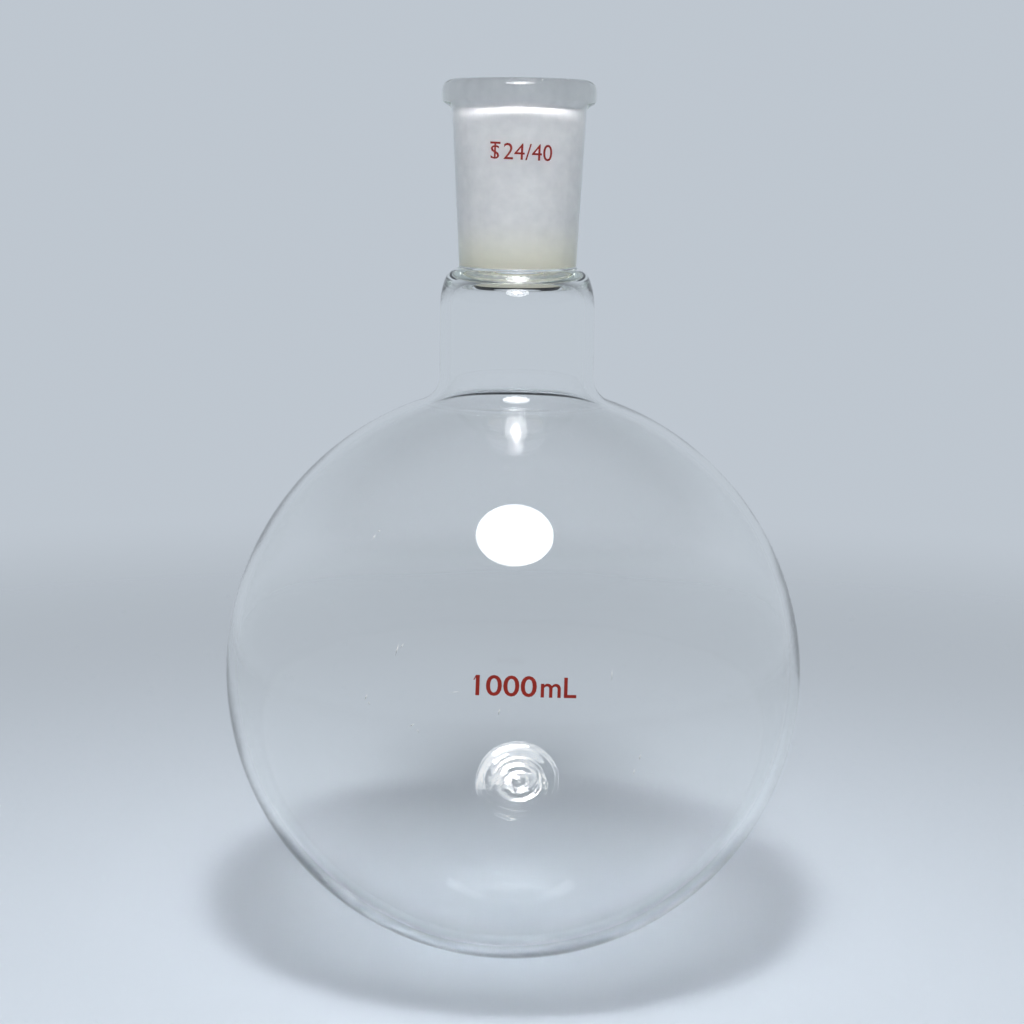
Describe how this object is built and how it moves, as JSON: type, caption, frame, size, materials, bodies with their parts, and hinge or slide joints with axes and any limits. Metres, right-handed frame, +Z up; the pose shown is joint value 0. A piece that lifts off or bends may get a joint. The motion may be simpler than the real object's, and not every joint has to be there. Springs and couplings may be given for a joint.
{
  "type": "round-bottom flask",
  "caption": "Clear glass round-bottom laboratory flask: spherical bulb, short wide neck and a ground taper socket joint with a beaded rim.",
  "frame": {"origin": "lowest point of the bulb, on the flask's axis", "axes": "+Z up the axis, from the bulb to the mouth; X and Y are free, because the glass is a body of revolution; the printed markings face -Y"},
  "size_m": [0.131, 0.131, 0.1983],
  "materials": {
    "clear_glass": "clear fire-polished borosilicate glass, with the socket of the joint ground matt",
    "red_enamel": "fired red enamel of the size markings"
  },
  "bodies": {
    "root": {"flask": "clear_glass"}
  },
  "joints": []
}
